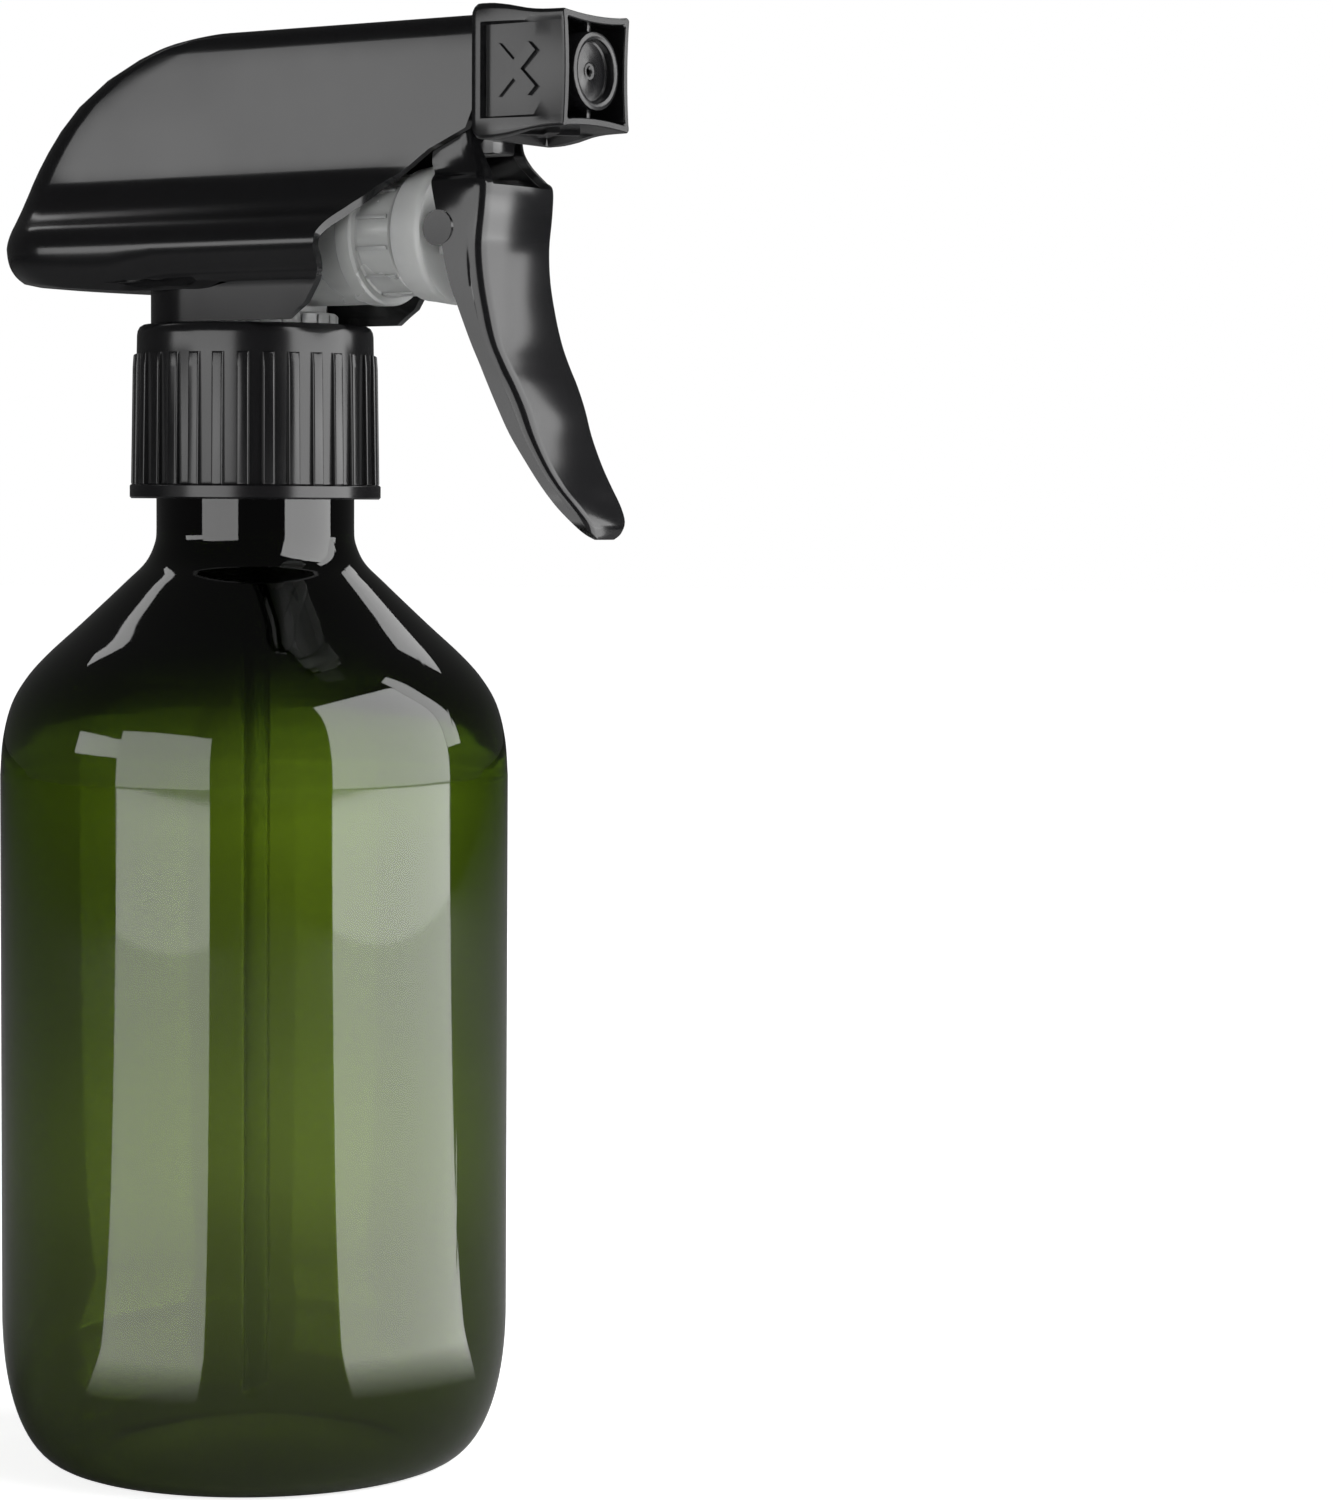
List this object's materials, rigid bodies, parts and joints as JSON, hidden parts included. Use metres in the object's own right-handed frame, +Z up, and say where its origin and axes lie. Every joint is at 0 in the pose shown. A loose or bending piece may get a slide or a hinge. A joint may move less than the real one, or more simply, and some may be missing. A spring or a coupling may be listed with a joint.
{
  "type": "trigger spray bottle",
  "caption": "Round green plastic bottle with a ribbed screw closure and a trigger pump head with a square turning nozzle; sprays liquid.",
  "frame": {"origin": "middle of the standing surface under the whole object's box; the bottle's axis is at X = -9.33 mm", "axes": "+Z up along the bottle's axis, +X the spraying direction, +Y to the left of someone behind the head"},
  "size_m": [0.104, 0.072, 0.2035],
  "materials": {
    "green_pet": "clear glossy, dark green",
    "closure_black": "satin gloss",
    "shroud_black": "gloss",
    "trigger_black": "gloss",
    "nozzle_black": "satin gloss",
    "natural_plastic": "translucent, natural",
    "seal_foam": "matt",
    "spring_steel": "bright wire",
    "ball_glass": "polished"
  },
  "bodies": {
    "bottle_body": {"bottle": "green_pet"},
    "head": {"pump_body": "natural_plastic", "shroud": "shroud_black", "connector": "natural_plastic", "neck_gasket": "seal_foam", "dip_tube": "natural_plastic", "swirl_plug": "natural_plastic", "return_spring": "spring_steel"},
    "closure_ring": {"closure": "closure_black"},
    "trigger_lever": {"trigger": "trigger_black"},
    "piston_rod": {"piston": "natural_plastic", "piston_seal": "seal_foam"},
    "nozzle_cap": {"nozzle": "nozzle_black"},
    "inlet_valve": {"inlet_ball": "ball_glass"},
    "outlet_poppet": {"outlet_valve": "natural_plastic"}
  },
  "joints": [
    {"name": "head_rise", "type": "slide", "parent": "bottle_body", "child": "head", "axis": [0, 0, 1], "range_m": [0, 0.00635]},
    {"name": "closure_turn", "type": "hinge", "parent": "head", "child": "closure_ring", "pos_m": [-0.00933, 0, 0.15], "axis": [0, 0, 1], "range_deg": [0, 540]},
    {"name": "trigger_squeeze", "type": "hinge", "parent": "head", "child": "trigger_lever", "pos_m": [0.03147, 0, 0.1866], "axis": [0, 1, 0], "range_deg": [0, 21]},
    {"name": "piston_stroke", "type": "slide", "parent": "head", "child": "piston_rod", "axis": [-1, 0, 0], "range_m": [0, 0.00449], "stiffness_N_per_m": 500, "springref_m": -0.004, "deforming": ["return_spring"]},
    {"name": "nozzle_turn", "type": "hinge", "parent": "head", "child": "nozzle_cap", "pos_m": [0.04, 0, 0.1945], "axis": [1, 0, 0], "continuous": true},
    {"name": "inlet_ball_lift", "type": "slide", "parent": "head", "child": "inlet_valve", "axis": [0, 0, 1], "range_m": [0, 0.002]},
    {"name": "outlet_valve_lift", "type": "slide", "parent": "head", "child": "outlet_poppet", "axis": [1, 0, 0], "range_m": [0, 0.0008], "stiffness_N_per_m": 40, "springref_m": -0.0004}
  ],
  "couplings": [
    {"joint": "closure_turn", "follows": "head_rise", "rad_per_m": 1484.3},
    {"joint": "trigger_squeeze", "follows": "piston_stroke", "rad_per_m": 81.6}
  ]
}
